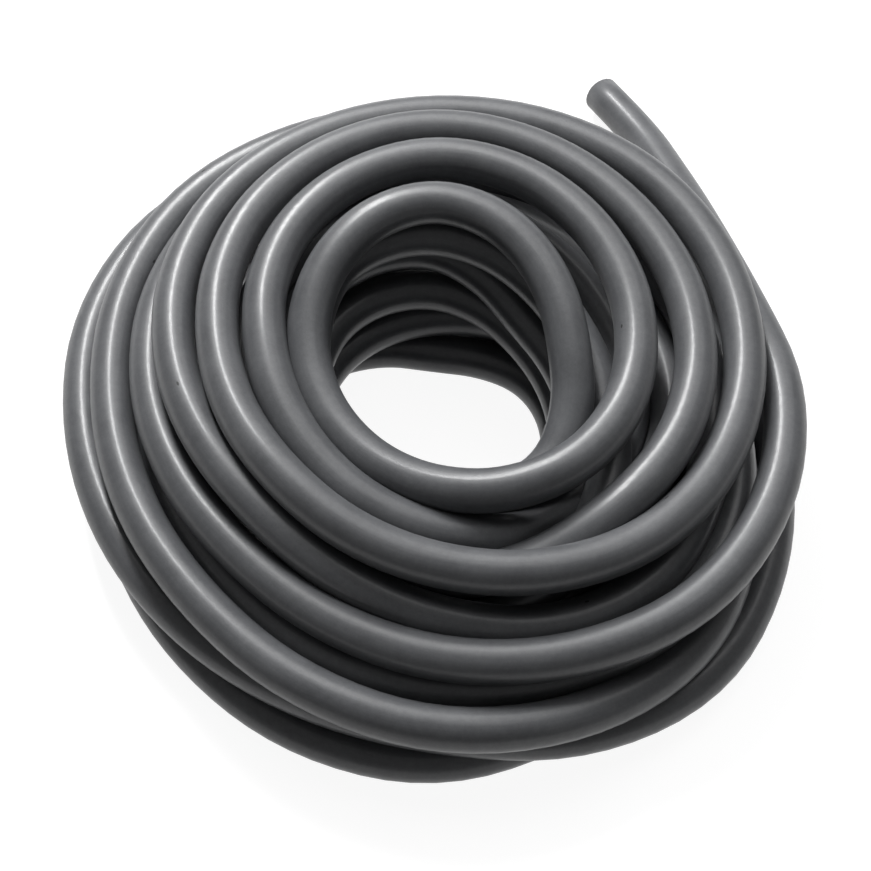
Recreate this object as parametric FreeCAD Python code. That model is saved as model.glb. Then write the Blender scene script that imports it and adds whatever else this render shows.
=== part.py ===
# A soaker hose as it is sold or put away: one length of smooth rubber hose, wound into a
# loose coil that lies flat, with two bare cut ends and no fittings.
#
# The hose is one piece in real life.  It is described here by three solids that meet face
# to face: the coil as one closed body of its outer shape, and the two stretches that are
# not coiled, which are hollow.
#
# The floor is z = 0 and +Z is up.  The origin is under the middle of the whole object.
# Sizes are in millimetres.  Places along and round the coil are in hose diameters,
# because a hose is wound in steps of its own thickness.
import FreeCAD
import Part
import math
import os

# The hose
BORE_DIA = 13.0
WALL = 2.5
HOSE_DIA = BORE_DIA + 2 * WALL

# The coil's middle seen from above, in hose diameters from the origin
COIL_X = 0.05
COIL_Y = -1.73

# The coil's outer shape: its outline at eight places round it, from the right and then
# counter-clockwise by way of the back.  Each outline runs from the inner foot up the hole's
# wall, over the crown and down the outside to the outer foot.  Each point is (how far out
# from the coil's middle, how high), in hose diameters.  The coil is highest at the back and
# slumps at the front, and the hole leans with it.
OUTLINES = (
    # right
    ((2.5, 0), (2.35, 1.6), (2.35, 3.2), (2.4, 5.15), (3.3, 5.6), (5.0, 5.2),
     (6.8, 4.5), (8.3, 3.75), (8.8, 2.6), (8.75, 1.2), (8.5, 0)),
    # back right
    ((2.65, 0), (2.4, 1.8), (2.35, 3.6), (2.45, 5.7), (3.3, 6.1), (5.0, 5.65),
     (6.8, 5.05), (8.2, 4.4), (8.55, 2.8), (8.6, 1.3), (8.4, 0)),
    # back
    ((2.6, 0), (2.7, 1.8), (2.75, 3.6), (2.9, 5.9), (3.8, 6.35), (5.2, 5.85),
     (6.9, 5.3), (8.4, 4.5), (9.15, 2.9), (9.2, 1.4), (8.4, 0)),
    # back left
    ((3.2, 0), (2.9, 1.8), (2.8, 3.5), (2.65, 5.6), (3.4, 6.1), (5.0, 5.65),
     (6.8, 4.95), (8.5, 3.8), (9.7, 2.9), (9.9, 1.5), (8.5, 0)),
    # left
    ((3.35, 0), (2.8, 1.5), (2.35, 3.0), (2.3, 4.7), (3.1, 5.4), (4.7, 5.5),
     (6.3, 4.6), (7.8, 3.4), (8.7, 2.5), (8.8, 1.2), (8.3, 0)),
    # front left
    ((3.35, 0), (2.8, 1.5), (2.35, 3.0), (2.3, 4.4), (3.0, 4.95), (4.6, 5.3),
     (6.0, 4.25), (7.4, 3.3), (8.1, 2.4), (8.3, 1.2), (8.15, 0)),
    # front
    ((3.3, 0), (2.8, 1.3), (2.7, 2.8), (2.95, 4.4), (3.6, 4.8), (5.1, 4.6),
     (6.6, 3.9), (8.1, 3.2), (8.8, 2.3), (8.85, 1.2), (8.65, 0)),
    # front right
    ((2.3, 0), (2.3, 1.5), (2.6, 3.0), (3.5, 4.6), (4.3, 5.2), (5.4, 4.75),
     (6.8, 4.15), (8.1, 3.7), (8.8, 2.6), (9.25, 1.3), (9.3, 0)),
)
# How far the outlines' feet reach below the floor before the flat underside is cut
FOOT_BELOW = 0.15
# How many points of the underside lie between an outline's two feet
FLOOR_POINTS = 3

# The free end: it leaves the top turn at the coil's right, comes down behind the coil and
# ends on the floor.  From the coil's middle, in hose diameters.
OUTER_ROUTE = ((6.72, 6.55, 1.75), (6.2, 8.41, 1.24), (5.62, 10.3, 0.76), (4.63, 12.05, 0.5))
# The coiled hose just before it, which stands out of the coil's shoulder
OUTER_LEAD = ((8.1, 0.8, 3.0), (7.474, 3.853, 2.49))

# The inner end lies on the floor in the hole, against the wall at the front left.
INNER_ROUTE = ((-2.614, -0.051, 0.5), (-2.22, -1.035, 0.5), (-1.655, -1.935, 0.5))
# The coiled hose just after it, which goes into the foot of the wall
INNER_LEAD = ((-1.07, -2.867, 0.5), (-0.4, -3.75, 0.5))

# How much of the shorter of two straight runs the bend between them takes
BEND_SHARE = 0.45


def place(point):
    """A point of the model from one given in hose diameters from the coil's middle."""
    x, y, z = point
    return FreeCAD.Vector((x + COIL_X) * HOSE_DIA, (y + COIL_Y) * HOSE_DIA, z * HOSE_DIA)


def route_wire(points, name):
    """Straight runs between the points, joined by arcs that touch both runs."""
    corners = [place(p) for p in points]
    edges = []
    start = corners[0]
    for before, corner, after in zip(corners, corners[1:], corners[2:]):
        back = before - corner
        ahead = after - corner
        shorter = min(back.Length, ahead.Length)
        half_turn = (math.pi - back.getAngle(ahead)) / 2
        reach = BEND_SHARE * shorter
        radius = reach / math.tan(half_turn)
        print("%s: bend of radius %.0f mm through %.0f degrees" % (name, radius, math.degrees(2 * half_turn)))
        back.normalize()
        ahead.normalize()
        arc_start = corner + back * reach
        arc_end = corner + ahead * reach
        inwards = (back + ahead).normalize()
        centre = corner + inwards * (radius / math.cos(half_turn))
        middle = centre - inwards * radius
        edges.append(Part.LineSegment(start, arc_start).toShape())
        edges.append(Part.Arc(arc_start, middle, arc_end).toShape())
        start = arc_end
    edges.append(Part.LineSegment(start, corners[-1]).toShape())
    return Part.Wire(edges)


def bar(wire, diameter):
    """A round solid along the wire, with flat ends square to it."""
    first = wire.Edges[0]
    start = first.valueAt(first.FirstParameter)
    along = first.tangentAt(first.FirstParameter)
    ring = Part.Wire(Part.Circle(start, along, diameter / 2).toShape())
    return wire.makePipeShell([ring], True, False)


def hollow_end(points, name):
    """A stretch of real hose: its outside less its bore."""
    wire = route_wire(points, name)
    hose = bar(wire, HOSE_DIA).cut(bar(wire, BORE_DIA))
    section = math.pi / 4 * (HOSE_DIA ** 2 - BORE_DIA ** 2)
    print("%s: %.0f mm long, volume %.0f mm3, section times length %.0f mm3"
          % (name, wire.Length, hose.Volume, section * wire.Length))
    return hose.Solids[0]


def closed_outline(outline):
    """One side's outline as a closed row of points, with the underside filled in."""
    points = [(out, high if high > 0 else -FOOT_BELOW) for out, high in outline]
    inner_foot, outer_foot = outline[0][0], outline[-1][0]
    for k in range(1, FLOOR_POINTS + 1):
        share = k / (FLOOR_POINTS + 1)
        points.append((outer_foot + (inner_foot - outer_foot) * share, -FOOT_BELOW))
    return points


def between(rows, k):
    """The outline half way between side k and the next, on a smooth curve through four sides."""
    a, b, c, d = (rows[(k + j) % len(rows)] for j in (-1, 0, 1, 2))
    return [tuple((9 * (q + r) - p - s) / 16 for p, q, r, s in zip(*four)) for four in zip(a, b, c, d)]


def coil_body():
    """The coil's outer shape as one smooth ring, flat underneath."""
    sides = [closed_outline(outline) for outline in OUTLINES]
    rows = []
    for k in range(len(sides)):
        rows.append(sides[k])
        rows.append(between(sides, k))
    count = len(rows)
    # A smooth curve stays inside the points that steer it, so they stand out by this much.
    stand_out = 1 / math.cos(math.pi / count)
    poles = []
    for k, row in enumerate(rows):
        angle = 2 * math.pi * k / count
        poles.append([place((out * stand_out * math.cos(angle), out * stand_out * math.sin(angle), high))
                      for out, high in row])
    across = len(poles[0])
    surface = Part.BSplineSurface()
    surface.buildFromPolesMultsKnots(
        poles, [1] * (count + 1), [1] * (across + 1),
        [float(k) for k in range(count + 1)], [float(k) for k in range(across + 1)],
        True, True, 2, 2)
    ring = Part.Solid(Part.Shell([surface.toShape()]))
    if ring.Volume < 0:
        ring.reverse()
    box = ring.BoundBox
    above_floor = Part.makeBox(box.XLength + 2 * HOSE_DIA, box.YLength + 2 * HOSE_DIA, box.ZMax + HOSE_DIA,
                               FreeCAD.Vector(box.XMin - HOSE_DIA, box.YMin - HOSE_DIA, 0))
    return ring.common(above_floor).Solids[0]


def hose_coil():
    """The coil with the two bars on which the free stretches carry on."""
    body = coil_body()
    print("coil: %.0f by %.0f mm, %.0f mm high" % (body.BoundBox.XLength, body.BoundBox.YLength, body.BoundBox.ZMax))
    for lead, name in ((OUTER_LEAD + OUTER_ROUTE[:1], "outer lead"), (INNER_ROUTE[-1:] + INNER_LEAD, "inner lead")):
        body = body.fuse(bar(route_wire(lead, name), HOSE_DIA))
    return body.Solids[0]


parts = {
    "hose_coil": hose_coil(),
    "outer_end": hollow_end(OUTER_ROUTE, "outer end"),
    "inner_end": hollow_end(INNER_ROUTE, "inner end"),
}

os.makedirs("parts", exist_ok=True)
whole = Part.makeCompound(list(parts.values())).optimalBoundingBox()
print("whole: x %.1f to %.1f, y %.1f to %.1f, z %.1f to %.1f mm"
      % (whole.XMin, whole.XMax, whole.YMin, whole.YMax, whole.ZMin, whole.ZMax))
for name, solid in parts.items():
    print("%s: valid %s, %d solid, %.0f mm3" % (name, solid.isValid(), len(solid.Solids), solid.Volume))
    solid.exportStep("parts/%s.step" % name)
tip = place(OUTER_ROUTE[-1])
leaving = (tip - place(OUTER_ROUTE[-2])).normalize()
print("outer mouth at", tip, "facing", leaving)
inner_tip = place(INNER_ROUTE[0])
inner_leaving = (inner_tip - place(INNER_ROUTE[1])).normalize()
print("inner mouth at", inner_tip, "facing", inner_leaving)
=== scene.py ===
# %% [markdown]
# # A coiled soaker hose
# One length of smooth dark rubber hose lies in a loose coil, with two bare cut ends.  The
# solid model that comes with it is plain: one body for the coil and two short tubes.  This
# script replaces them with one hose that follows every turn, and adds its finish, the
# floor, the light and the camera.
# %% The frame
import bpy
import math
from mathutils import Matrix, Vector


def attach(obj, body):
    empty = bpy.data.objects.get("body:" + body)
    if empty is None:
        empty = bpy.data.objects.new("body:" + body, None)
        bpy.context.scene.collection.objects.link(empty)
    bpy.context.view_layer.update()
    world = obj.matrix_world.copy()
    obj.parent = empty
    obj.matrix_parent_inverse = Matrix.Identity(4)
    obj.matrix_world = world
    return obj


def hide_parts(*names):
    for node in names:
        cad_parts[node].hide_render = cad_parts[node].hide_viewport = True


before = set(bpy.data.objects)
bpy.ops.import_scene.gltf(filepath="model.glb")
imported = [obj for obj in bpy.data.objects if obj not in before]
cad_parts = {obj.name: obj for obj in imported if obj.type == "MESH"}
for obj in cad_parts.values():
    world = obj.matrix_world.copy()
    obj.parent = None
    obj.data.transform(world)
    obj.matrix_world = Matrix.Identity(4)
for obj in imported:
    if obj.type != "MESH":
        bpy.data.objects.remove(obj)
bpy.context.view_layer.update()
print("frame:", sorted(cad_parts))

# %% [markdown]
# ## Sizes
# A hose is wound in steps of its own thickness, so places in the coil are easiest to
# choose in hose diameters.  One function turns them into metres in the part's frame.
# %% Sizes
BORE_DIA = 0.013
WALL = 0.0025
HOSE_DIA = BORE_DIA + 2 * WALL
COIL_X, COIL_Y = 0.05, -1.73        # the coil's middle, in hose diameters


def place(x, y, z):
    """A point in metres from one in hose diameters from the coil's middle."""
    return Vector(((x + COIL_X) * HOSE_DIA, (y + COIL_Y) * HOSE_DIA, z * HOSE_DIA))


print("hose %.1f mm thick" % (HOSE_DIA * 1000))

# %% [markdown]
# ## Camera
# The photograph looks down at 56 degrees from the front, from about 48 hose diameters
# away.  The focal length follows from that distance: at the coil's middle one hose
# diameter is 40 of the picture's 871 pixels.
# %% Camera
ELEVATION = math.radians(56)
DISTANCE = 48 * HOSE_DIA
LOOK_AT = place(0, 0.8, 0)
SENSOR_MM = 36
PICTURE_PX = 871
HOSE_PX = 40

camera_data = bpy.data.cameras.new("camera")
camera_data.sensor_width = SENSOR_MM
camera_data.lens = SENSOR_MM * (DISTANCE / HOSE_DIA) * HOSE_PX / PICTURE_PX
camera = bpy.data.objects.new("camera", camera_data)
camera.location = LOOK_AT + DISTANCE * Vector((0, -math.cos(ELEVATION), math.sin(ELEVATION)))
camera.rotation_euler = (math.pi / 2 - ELEVATION, 0, 0)
bpy.context.scene.collection.objects.link(camera)
bpy.context.scene.camera = camera
print("camera at", tuple(round(v, 3) for v in camera.location), "lens %.1f mm" % camera_data.lens)

# %% [markdown]
# ## The turns of the coil
# A helix would look like a spring.  In a loosely wound coil each turn has its own width
# and lies where the turns below let it.  So each turn is one row: how far out and how high
# the hose's middle is at eight places round the coil, from the right and then
# counter-clockwise by way of the back.  The last value, from 0 to 1, says how firmly the
# turn keeps to its row.  Turns that show are firm.  Buried ones only need to be roughly
# right, because a later step settles them between the others, so four places are enough
# for most of them.
# %% The turns
SHOWN, PARTLY, LOOSE, BURIED = 0.6, 0.3, 0.2, 0.04
LOWEST = 0.5                        # the middle of a hose that lies on the floor
FLOOR = (LOWEST,) * 8

TURNS = [
    # bottom layer, from the hole outwards
    ((2.7, 2.7, 2.7, 2.7, 2.7, 2.5, 2.75, 2.8), FLOOR, LOOSE),
    ((3.08, 3.2, 2.95, 3.98, 4.0, 3.75, 3.8, 3.9), FLOOR, 0.5),
    ((4.35, 3.8, 5.0, 5.2), FLOOR[:4], BURIED),
    ((5.35, 5.6, 6.4, 7.65, 6.65, 6.4, 6.5, 6.45), FLOOR, LOOSE),
    ((6.4, 6.9, 8.2, 9.1, 7.85, 7.8, 8.35, 7.7), FLOOR, SHOWN),
    # the outermost turn climbs from the floor at the back and comes down at the front right
    ((7.1, 7.7, 9.0, 9.82, 8.42, 7.65, 7.78, 8.72),
     (0.5, 0.8, 1.05, 1.2, 1.55, 1.5, 1.27, 0.65), 0.75),
    # second layer, inwards
    ((7.85, 7.9, 7.7, 8.2, 6.95, 6.7, 6.6, 6.6),
     (0.6, 1.0, 1.4, 1.35, 1.4, 1.4, 1.4, 1.4), 0.4),
    ((6.6, 7.2, 6.7, 5.6), (1.4, 1.4, 1.4, 1.4), BURIED),
    ((5.5, 5.6, 4.8, 4.6), (1.4, 1.4, 1.4, 1.4), BURIED),
    ((4.3, 3.45, 3.2, 3.4), (1.4, 1.45, 1.4, 1.4), BURIED),
    # the wall of the hole and what is behind it
    ((3.3, 3.1, 3.4, 3.4, 3.0, 3.1, 3.3, 3.4),
     (1.5, 2.1, 2.6, 2.6, 2.4, 2.3, 2.3, 2.4), PARTLY),
    ((3.35, 2.95, 3.7, 3.9, 3.5, 3.8, 4.2, 4.6),
     (2.5, 3.1, 3.9, 3.7, 3.3, 2.7, 2.2, 2.2), PARTLY),
    ((5.3, 5.4, 5.2, 5.6), (2.4, 3.3, 2.9, 2.3), BURIED),
    ((3.45, 3.15, 3.4, 3.5, 3.05, 3.15, 3.55, 3.78),
     (3.75, 4.4, 4.7, 4.5, 3.7, 3.2, 3.2, 3.6), PARTLY),
    # the top, from the hole outwards
    ((3.02, 3.1, 3.55, 3.2, 2.93, 2.94, 3.47, 4.3),
     (4.8, 5.5, 5.7, 5.4, 4.6, 4.2, 4.15, 4.6), SHOWN),
    ((4.55, 4.95, 5.4, 4.65, 3.8, 3.82, 4.3, 4.5),
     (4.7, 5.1, 5.2, 5.1, 4.95, 4.45, 3.8, 2.65), SHOWN),
    ((4.75, 4.8, 4.7, 4.6, 4.5, 4.5, 4.85, 5.6),
     (2.2, 3.1, 4.2, 4.1, 3.75, 3.4, 2.85, 3.88), LOOSE),
    ((6.0, 6.32, 6.7, 5.9, 4.88, 4.68, 5.23, 6.35),
     (4.2, 4.6, 4.8, 4.85, 4.8, 4.7, 4.07, 3.85), SHOWN),
    ((7.15, 7.75, 7.7, 7.15, 5.95, 5.36, 6.15, 7.0),
     (3.7, 4.1, 4.2, 4.2, 4.2, 4.0, 2.85, 2.5), SHOWN),
    # the outside of the coil, below the top
    ((6.55, 6.7, 7.2, 7.72, 6.78, 6.7, 7.3, 8.1),
     (2.75, 3.1, 3.1, 2.3, 2.2, 2.0, 1.9, 2.0), PARTLY),
    ((7.0, 7.45, 8.3, 8.65, 7.6, 7.3, 8.28, 8.15),
     (1.8, 2.7, 3.0, 2.85, 2.65, 2.55, 2.3, 1.6), SHOWN),
    ((6.9, 7.1, 7.7, 7.6, 6.62, 6.12, 6.8, 8.0),
     (1.4, 2.2, 3.2, 3.2, 3.25, 3.2, 2.85, 3.0), SHOWN),
    # the last turn, as far as the free end
    ((8.1, 7.55), (3.05, 2.3), 0.8),
]
print("%d turns and the start of one more" % (len(TURNS) - 1))

# %% [markdown]
# ## One long row of places
# The turns are one hose, so their rows become one row.  A buried turn's four places get
# the means between them, up to the first place of the turn that follows.
# %% All places
def round_four(out, high, next_out, next_high):
    """Eight places from four: right, back, left and front, with the means between them."""
    outs, highs = [], []
    for four, following, eight in ((out, next_out, outs), (high, next_high, highs)):
        right, back, left, front = four
        eight += [right, (right + back) / 2, back, (back + left) / 2, left, (left + front) / 2,
                  front, (front + following) / 2]
    return outs, highs


def all_places():
    """Every turn's places, one after the other, as (out, high, firmness)."""
    found = []
    for k, (out, high, firm) in enumerate(TURNS):
        if len(out) == 4:
            out, high = round_four(out, high, TURNS[k + 1][0][0], TURNS[k + 1][1][0])
        found += [(o, z, firm) for o, z in zip(out, high)]
    return found


places = all_places()
print("%d places" % len(places))

# %% [markdown]
# ## Twice as many places
# Eight places round a turn are too few for a smooth hose.  A curve through four neighbours
# gives one more between each two, which keeps to the round of the turn better than a
# straight line between them would.
# %% Denser places
AROUND = 16                         # places round one turn from here on


def halfway(values, i):
    """The value half way between place i and the next, on a curve through four places."""
    a, b, c, d = (values[min(max(j, 0), len(values) - 1)] for j in (i - 1, i, i + 1, i + 2))
    return (9 * (b + c) - a - d) / 16


def denser(found):
    """The places and those half way between them, and how firmly each of them is held."""
    outs, highs, firms = zip(*found)
    spots, firm = [], []
    for i in range(len(found)):
        spots.append([outs[i], highs[i]])
        firm.append(firms[i])
        if i < len(found) - 1:
            spots.append([halfway(outs, i), halfway(highs, i)])
            firm.append(min(firms[i], firms[i + 1]))
    return spots, firm


spots, firm = denser(places)
print("%d places with those between" % len(spots))

# %% [markdown]
# ## Settling the turns
# The listed rows overlap here and there.  So the turns settle: again and again each
# place is pulled towards its row, kept in line with its neighbours along the hose, pushed
# off the turns that it overlaps, and kept on the floor.  A physics simulation could do the
# same, but it would drift away from the photograph.
# %% Settling
ROUNDS = 150
PULL = 0.3                          # towards the row
EVEN = 0.35                         # into line with the neighbours
PUSH = 0.9                          # off other turns
SMALLEST_GAP = 1e-6
FIRST = 11                          # the hose starts at the front left of the first turn
LAST = len(spots) - 1


def keep_apart(spots, firm, first, last):
    """Push places of different turns that are nearer than one hose away from each other."""
    for side in range(AROUND):
        here = [i for i in range(first, last) if i % AROUND == side]
        for n, i in enumerate(here):
            for j in here[:n]:
                dx, dz = spots[i][0] - spots[j][0], spots[i][1] - spots[j][1]
                gap = max(math.hypot(dx, dz), SMALLEST_GAP)
                if gap < 1:
                    give_i, give_j = 1 - firm[i], 1 - firm[j]
                    push = PUSH * (1 - gap) / gap / (give_i + give_j)
                    spots[i][0] += dx * push * give_i
                    spots[i][1] += dz * push * give_i
                    spots[j][0] -= dx * push * give_j
                    spots[j][1] -= dz * push * give_j


def settle(spots, firm, first, last):
    """Move the places from first up to last until the turns lie on and beside each other."""
    target = [spot[:] for spot in spots]
    for _ in range(ROUNDS):
        for i in range(first, last):
            for axis in (0, 1):
                spots[i][axis] += PULL * firm[i] * (target[i][axis] - spots[i][axis])
        shift = [(s[0] - t[0], s[1] - t[1]) for s, t in zip(spots, target)]
        for i in range(first + 1, last - 1):
            for axis in (0, 1):
                mean = (shift[i - 1][axis] + shift[i + 1][axis]) / 2
                spots[i][axis] += EVEN * (mean - shift[i][axis])
        keep_apart(spots, firm, first, last)
        for i in range(first, last):
            spots[i][1] = max(LOWEST, spots[i][1])


settle(spots, firm, FIRST, LAST)
print("settled %d places, highest %.2f diameters" % (LAST - FIRST, max(s[1] for s in spots)))

# %% [markdown]
# ## The hose's route
# The two stretches that are not coiled are chosen point by point, as in the solid model:
# the inner end lies on the floor in the hole, and the outer end comes down behind the
# coil.  All the points will steer one smooth spline.  It passes inside them, so on a turn
# they stand out a little.
# %% The route
INNER_ROUTE = ((-2.614, -0.051, 0.5), (-2.22, -1.035, 0.5), (-1.655, -1.935, 0.5))
OUTER_ROUTE = ((6.72, 6.55, 1.75), (6.2, 8.41, 1.24), (5.62, 10.3, 0.76), (4.63, 12.05, 0.5))
STAND_OUT = 1 / math.cos(math.pi / AROUND)

route = [place(*p) for p in INNER_ROUTE]
for i in range(FIRST, LAST):
    angle = 2 * math.pi * i / AROUND
    out = spots[i][0] * STAND_OUT
    route.append(place(out * math.cos(angle), out * math.sin(angle), spots[i][1]))
route += [place(*p) for p in OUTER_ROUTE]
print("%d points steer the line" % len(route))

# %% [markdown]
# ## The hose's line
# A NURBS spline takes the points as its handles and bends evenly past them, as a hose
# does.  Straight runs with rounded corners would look like bent wire.  Turned into a mesh
# with no thickness, the spline gives the points that the tube is built on.
# %% The line
STEPS = 6                           # points along the line for each point that steers it

line = bpy.data.curves.new("hose_line", "CURVE")
line.dimensions = "3D"
line.resolution_u = STEPS
spline = line.splines.new("NURBS")
spline.points.add(len(route) - 1)
for point, spot in zip(spline.points, route):
    point.co = (*spot, 1)
spline.order_u = 3
spline.use_endpoint_u = True
line_object = bpy.data.objects.new("hose_line", line)
bpy.context.scene.collection.objects.link(line_object)
bpy.context.view_layer.update()
line_mesh = bpy.data.meshes.new_from_object(line_object)
path = [v.co.copy() for v in line_mesh.vertices]
bpy.data.objects.remove(line_object)

# %% [markdown]
# ## Rings
# A curve with a round bevel would make the outside quickly, but a cut hose shows its wall
# and its bore.  So the tube is built ring by ring along the line.  Each ring is turned as
# little as possible from the one before, so that the surface doesn't twist.
# %% Rings
RING = 24                           # points round the hose


def headings(points):
    """The direction of the line at each of its points."""
    ahead = points[1:] + points[-1:]
    behind = points[:1] + points[:-1]
    return [(a - b).normalized() for a, b in zip(ahead, behind)]


def side_vectors(directions):
    """A sideways direction at each point, carried along without twisting."""
    side = directions[0].orthogonal().normalized()
    sides = []
    for d in directions:
        side = (side - d * side.dot(d)).normalized()
        sides.append(side)
    return sides


def add_ring(vertices, centre, direction, side, radius):
    """Add one ring's vertices, and say where they start."""
    other = direction.cross(side)
    start = len(vertices)
    for k in range(RING):
        a = 2 * math.pi * k / RING
        vertices.append(centre + radius * (math.cos(a) * side + math.sin(a) * other))
    return start


def join_rings(faces, a, b):
    """Faces between the rings that start at a and b."""
    for k in range(RING):
        n = (k + 1) % RING
        faces.append((a + k, a + n, b + n, b + k))


print("rings of %d points" % RING)

# %% [markdown]
# ## The tube
# The outside runs along the whole line.  At both ends the wall turns in and runs some way
# down the bore, as far as anyone can see into it, and a cap closes it there.  The last
# ring at each end is a little smaller, because a cut leaves the rubber's edge a little
# round.
# %% The tube
BORE_DEPTH = 0.045
CUT_EDGE = 0.0008


def just_inside(end, inner):
    """The point that lies the cut edge's width inside an end of the line."""
    return end.lerp(inner, CUT_EDGE / (end - inner).length)


def tube_mesh(points):
    """The outside along the whole line, and the wall and bore at both ends."""
    points = points[:1] + [just_inside(points[0], points[1])] + points[1:]
    points.insert(-1, just_inside(points[-1], points[-2]))
    ends = (0, len(points) - 1)
    directions = headings(points)
    sides = side_vectors(directions)
    along = [0.0]
    for a, b in zip(points, points[1:]):
        along.append(along[-1] + (b - a).length)
    vertices, faces, lengths = [], [], []

    def ring(i, radius):
        lengths.append(along[i])
        return add_ring(vertices, points[i], directions[i], sides[i], radius)

    outside = [ring(i, HOSE_DIA / 2 - (CUT_EDGE if i in ends else 0)) for i in range(len(points))]
    for a, b in zip(outside, outside[1:]):
        join_rings(faces, a, b)
    depth = next(i for i, s in enumerate(along) if s > BORE_DEPTH)
    for inwards in (range(depth), range(len(points) - 1, len(points) - 1 - depth, -1)):
        last = outside[inwards[0]]
        flip = inwards[0] == 0
        for i in inwards:
            now = ring(i, BORE_DIA / 2)
            if flip:
                join_rings(faces, now, last)
            else:
                join_rings(faces, last, now)
            last = now
        cap = tuple(last + k for k in range(RING))
        faces.append(cap if flip else cap[::-1])
    mesh = bpy.data.meshes.new("hose")
    mesh.from_pydata([tuple(v) for v in vertices], [], faces)
    return mesh, lengths


hose_mesh, ring_lengths = tube_mesh(path)
print("hose: %d faces" % len(hose_mesh.polygons))

# %% [markdown]
# ## Lengths on the surface
# The finish will have streaks along the hose, so the surface needs coordinates that run
# round it and along it.  They are in metres, so that a pattern has a real size.  The face
# that closes each ring would run backwards, so its last edge counts as one step further.
# %% Unwrapping and shading
SHARP = math.radians(50)            # an edge this sharp stays an edge


def unwrap(mesh, lengths):
    """UVs in metres: u round the hose and v along it."""
    layer = mesh.uv_layers.new(name="along")
    for face in mesh.polygons:
        spots_round = [mesh.loops[k].vertex_index % RING for k in face.loop_indices]
        seam = max(spots_round) - min(spots_round) > RING / 2
        for k, spot in zip(face.loop_indices, spots_round):
            step = spot + RING if seam and spot == 0 else spot
            v = lengths[mesh.loops[k].vertex_index // RING]
            layer.data[k].uv = (step / RING * math.pi * HOSE_DIA, v)


unwrap(hose_mesh, ring_lengths)
hose_mesh.shade_smooth()
hose_mesh.set_sharp_from_angle(angle=SHARP)
hose = bpy.data.objects.new("hose", hose_mesh)
bpy.context.scene.collection.objects.link(hose)
print("hose is in the scene")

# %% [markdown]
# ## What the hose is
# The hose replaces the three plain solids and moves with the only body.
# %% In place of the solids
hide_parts("hose_coil", "outer_end", "inner_end")
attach(hose, "root")

# %% [markdown]
# ## A small language for shaders
# Node trees are hard to read as code.  A wrapped socket that can be added, multiplied and
# so on turns shader maths into plain expressions, and one method makes any other node.
# %% Shader helper
class Socket:
    def __init__(self, tree, socket):
        self.tree, self.socket = tree, socket

    def math(self, operation, first, second):
        settings = {"operation": operation}
        return node(self.tree, "ShaderNodeMath", settings, {0: first, 1: second})["Value"]

    def __add__(self, other): return self.math("ADD", self, other)
    def __radd__(self, other): return self.math("ADD", other, self)
    def __sub__(self, other): return self.math("SUBTRACT", self, other)
    def __rsub__(self, other): return self.math("SUBTRACT", other, self)
    def __mul__(self, other): return self.math("MULTIPLY", self, other)
    def __rmul__(self, other): return self.math("MULTIPLY", other, self)
    def above(self, other): return self.math("GREATER_THAN", self, other)


class Node:
    def __init__(self, tree, made):
        self.tree, self.made = tree, made

    def __getitem__(self, name):
        return Socket(self.tree, self.made.outputs[name])


def node(tree, kind, settings=None, inputs=None):
    """Make a node, then its settings, then the values or links of its sockets."""
    made = tree.nodes.new(kind)
    for name, value in (settings or {}).items():
        setattr(made, name, value)
    for name, value in (inputs or {}).items():
        if isinstance(value, Socket):
            tree.links.new(value.socket, made.inputs[name])
        else:
            made.inputs[name].default_value = value
    return Node(tree, made)


def new_material(name):
    """An empty material and its node tree."""
    material = bpy.data.materials.new(name)
    material.use_nodes = True
    material.node_tree.nodes.clear()
    return material, material.node_tree


print("shader helper ready")

# %% [markdown]
# ## The rubber's patterns
# The rubber has a fine grain, faint streaks along its length from the die, slightly duller
# patches and a few small dark pits.  An image texture could show that, but noise in the
# hose's own lengths stays sharp at any distance.  The streaks and pits follow the surface,
# and the rest fills space.
# %% Patterns
rubber, tree = new_material("hose_rubber")
uv = node(tree, "ShaderNodeTexCoord")["UV"]
space = node(tree, "ShaderNodeTexCoord")["Object"]


def noise(vector, scale, detail=2.0):
    inputs = {"Vector": vector, "Scale": scale, "Detail": detail}
    return node(tree, "ShaderNodeTexNoise", {}, inputs)["Fac"]


def stretched(vector, scale):
    return node(tree, "ShaderNodeMapping", {}, {"Vector": vector, "Scale": scale})["Vector"]


patches = noise(space, 55.0)
mottle = noise(space, 420.0)
grain = noise(space, 1300.0)
streaks = noise(stretched(uv, (900.0, 25.0, 1.0)), 1.0)
pits = noise(stretched(uv, (330.0, 150.0, 1.0)), 1.0, 0.0).above(0.9)
print("patterns: %d nodes" % len(tree.nodes))

# %% [markdown]
# ## The rubber's finish
# Rubber hose is half glossy: its highlights are narrow but not mirror-sharp.  The shade
# wanders a little between two greys, a thin uneven coat carries the crisp part of the
# highlights, and the grain is only deep enough to break them up.
# %% Rubber
DARK_GREY = (0.066, 0.068, 0.073, 1)
PALE_GREY = (0.134, 0.138, 0.145, 1)
PIT_BLACK = (0.02, 0.02, 0.02, 1)
GRAIN_DEPTH = 0.0002


def mixed(share, first, second):
    """A colour between two others."""
    inputs = {"Factor": share, 6: first, 7: second}
    made = node(tree, "ShaderNodeMix", {"data_type": "RGBA"}, inputs).made
    return Socket(tree, made.outputs[2])


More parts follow.
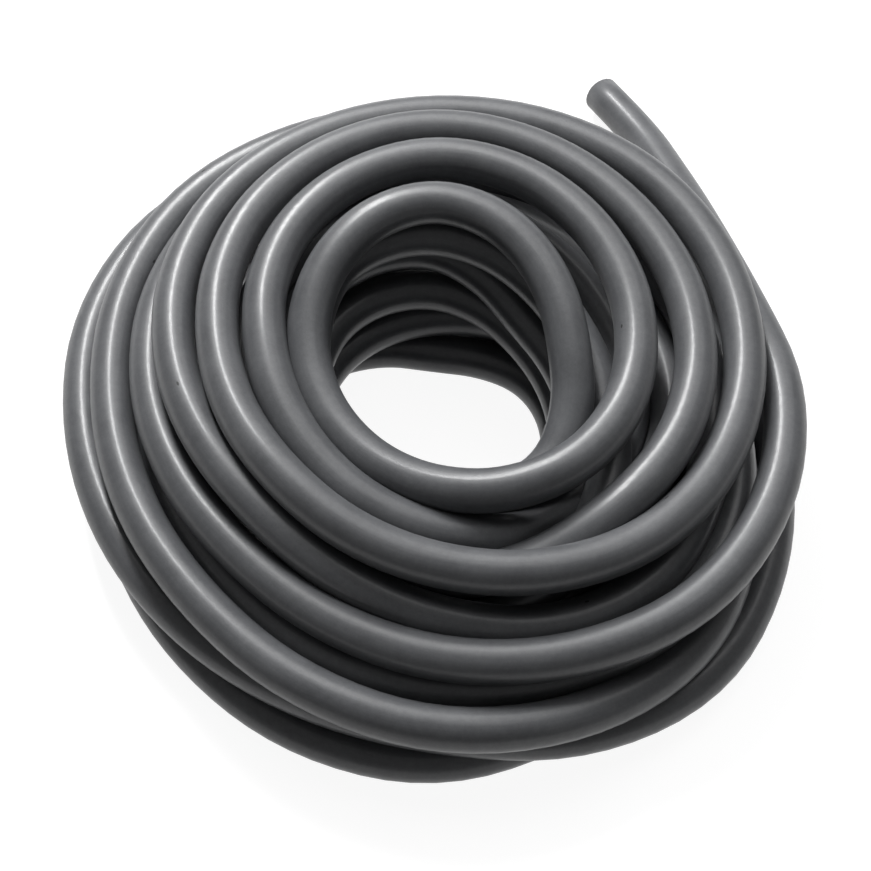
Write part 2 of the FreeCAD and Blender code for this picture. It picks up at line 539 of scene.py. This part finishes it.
shade = 0.5 + 2.0 * (0.4 * patches + 0.25 * mottle + 0.2 * grain + 0.15 * streaks - 0.5)
colour = mixed(pits, mixed(shade, DARK_GREY, PALE_GREY), PIT_BLACK)
relief = 0.6 * mottle + 0.4 * grain + 0.4 * streaks
bump = node(tree, "ShaderNodeBump", {},
            {"Strength": 0.3, "Distance": GRAIN_DEPTH, "Height": relief})["Normal"]
surface = node(tree, "ShaderNodeBsdfPrincipled", {}, {
    "Base Color": colour,
    "Roughness": 0.36 + 0.2 * patches + 0.2 * pits,
    "Normal": bump,
    "Coat Weight": 0.1 + 0.25 * mottle,
    "Coat Roughness": 0.2,
})["BSDF"]
node(tree, "ShaderNodeOutputMaterial", {}, {"Surface": surface})
hose_mesh.materials.append(rubber)
print("rubber: %d nodes" % len(tree.nodes))

# %% [markdown]
# ## Floor
# The photograph's ground is plain white.  A white sheet would throw light up into the
# coil's dark gaps, so for the light this floor is grey.  Only what the camera sees, directly
# or mirrored in the hose, is white: mostly its own glow, and a little paper on top that
# keeps a faint shadow.
# %% Floor
FLOOR_SIZE = 6
WHITE = (1, 1, 1, 1)
UNSEEN_GREY = (0.1, 0.1, 0.1, 1)
PAPER_GREY = (0.25, 0.25, 0.25, 1)
GLOW = 0.92                         # with the lit paper on top it comes to white

bpy.ops.mesh.primitive_plane_add(size=FLOOR_SIZE)
floor = bpy.context.object
floor.name = "floor"
floor_paint, tree = new_material("floor")
ray = node(tree, "ShaderNodeLightPath")
seen = (ray["Is Camera Ray"] + ray["Is Glossy Ray"] + ray["Is Transmission Ray"]).above(0.5)
grey = node(tree, "ShaderNodeBsdfDiffuse", {}, {"Color": UNSEEN_GREY})["BSDF"]
glow = node(tree, "ShaderNodeEmission", {}, {"Color": WHITE, "Strength": GLOW})["Emission"]
paper = node(tree, "ShaderNodeBsdfDiffuse", {}, {"Color": PAPER_GREY})["BSDF"]
white = node(tree, "ShaderNodeAddShader", {}, {0: glow, 1: paper})["Shader"]
ground = node(tree, "ShaderNodeMixShader", {}, {0: seen, 1: grey, 2: white})["Shader"]
node(tree, "ShaderNodeOutputMaterial", {}, {"Surface": ground})
floor.data.materials.append(floor_paint)
print("floor at z = 0")

# %% [markdown]
# ## Lamps
# Each strand has one narrow bright line near its upper left side, and the light falls off
# towards the front.  That is a long narrow softbox high behind the coil, to the left.  A
# broad and weak one overhead lightens the tops of the strands between those lines.
# %% Lamps
def softbox(name, position, size, power):
    """A rectangular lamp that faces the coil, with its size in metres and power in watts."""
    data = bpy.data.lights.new(name, "AREA")
    data.shape = "RECTANGLE"
    data.size, data.size_y = size
    data.energy = power
    lamp = bpy.data.objects.new(name, data)
    lamp.location = position
    lamp.rotation_euler = (LOOK_AT - lamp.location).to_track_quat("-Z", "Y").to_euler()
    bpy.context.scene.collection.objects.link(lamp)


softbox("key", position=Vector((-0.4, 1.06, 1.28)), size=(0.24, 0.9), power=31)
softbox("roof", position=Vector((0.2, 0.7, 1.4)), size=(1.6, 1.6), power=13)
print("two softboxes")

# %% [markdown]
# ## Room
# The room is plain white where the camera sees it.  Mirrored in the hose it is dim, so
# that the flanks of the strands stay dark, and as light it is dimmer still, so that the
# gaps between the turns do.
# %% Room
AS_LIGHT = 0.05
TO_CAMERA = 0.95                    # this and the next come on top of it
MIRRORED = 0.25

world = bpy.data.worlds.new("room")
world.use_nodes = True
tree = world.node_tree
tree.nodes.clear()
ray = node(tree, "ShaderNodeLightPath")
mirrored = ray["Is Glossy Ray"] + ray["Is Transmission Ray"]
strength = AS_LIGHT + TO_CAMERA * ray["Is Camera Ray"] + MIRRORED * mirrored
room = node(tree, "ShaderNodeBackground", {}, {"Color": WHITE, "Strength": strength})["Background"]
node(tree, "ShaderNodeOutputWorld", {}, {"Surface": room})
bpy.context.scene.world = world
bpy.context.scene.view_settings.view_transform = "Standard"
print("a weak room light")

# %% [markdown]
# ## End
# %% Finish
print("done")
